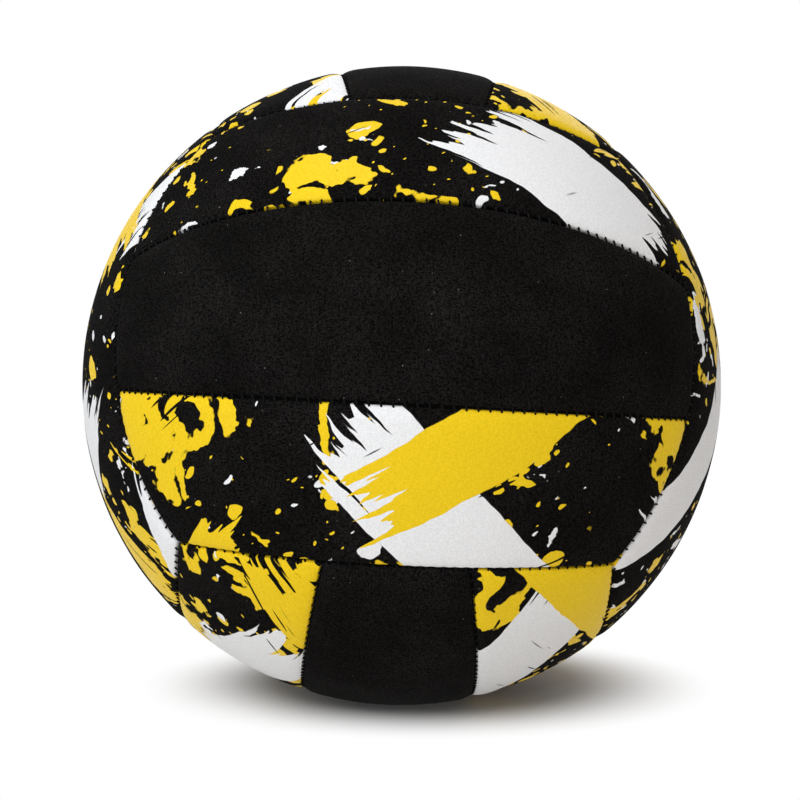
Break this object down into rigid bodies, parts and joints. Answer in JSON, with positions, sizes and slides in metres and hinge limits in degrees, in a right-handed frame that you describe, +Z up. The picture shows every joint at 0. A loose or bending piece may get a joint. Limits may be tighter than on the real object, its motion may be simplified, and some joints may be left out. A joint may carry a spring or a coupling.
{
  "type": "volleyball",
  "caption": "Round stitched volleyball with padded fabric strips sewn over foam and an air bladder, for beach or indoor play.",
  "frame": {"origin": "centre of the ball", "axes": "+Z up, -Y towards the viewer; the front face is tipped back 16.3 degrees about X as pictured, and the ball touches the floor at Z = -0.106 m"},
  "size_m": [0.2114, 0.212, 0.2116],
  "materials": {
    "plain_cover": "matte black knit, unprinted",
    "printed_cover": "matte knit with a yellow, white and black print",
    "foam": "closed-cell foam",
    "seam_thread": "black polyester lockstitch",
    "bladder_rubber": "dull moulded rubber",
    "valve_rubber": "smooth moulded rubber"
  },
  "bodies": {
    "root": {"front_upper_cover": "printed_cover", "front_centre_cover": "plain_cover", "front_lower_cover": "printed_cover", "front_upper_foam": "foam", "front_centre_foam": "foam", "front_lower_foam": "foam", "front_seam_thread": "seam_thread", "back_upper_cover": "printed_cover", "back_centre_cover": "plain_cover", "back_lower_cover": "printed_cover", "back_upper_foam": "foam", "back_centre_foam": "foam", "back_lower_foam": "foam", "back_seam_thread": "seam_thread", "right_front_cover": "printed_cover", "right_centre_cover": "plain_cover", "right_back_cover": "printed_cover", "right_front_foam": "foam", "right_centre_foam": "foam", "right_back_foam": "foam", "right_seam_thread": "seam_thread", "left_front_cover": "printed_cover", "left_centre_cover": "plain_cover", "left_back_cover": "printed_cover", "left_front_foam": "foam", "left_centre_foam": "foam", "left_back_foam": "foam", "left_seam_thread": "seam_thread", "top_right_cover": "printed_cover", "top_centre_cover": "plain_cover", "top_left_cover": "printed_cover", "top_right_foam": "foam", "top_centre_foam": "foam", "top_left_foam": "foam", "top_seam_thread": "seam_thread", "bottom_right_cover": "printed_cover", "bottom_centre_cover": "plain_cover", "bottom_left_cover": "printed_cover", "bottom_right_foam": "foam", "bottom_centre_foam": "foam", "bottom_left_foam": "foam", "bottom_seam_thread": "seam_thread", "bladder": "bladder_rubber", "valve_body": "valve_rubber", "valve_core": "valve_rubber"}
  },
  "joints": []
}
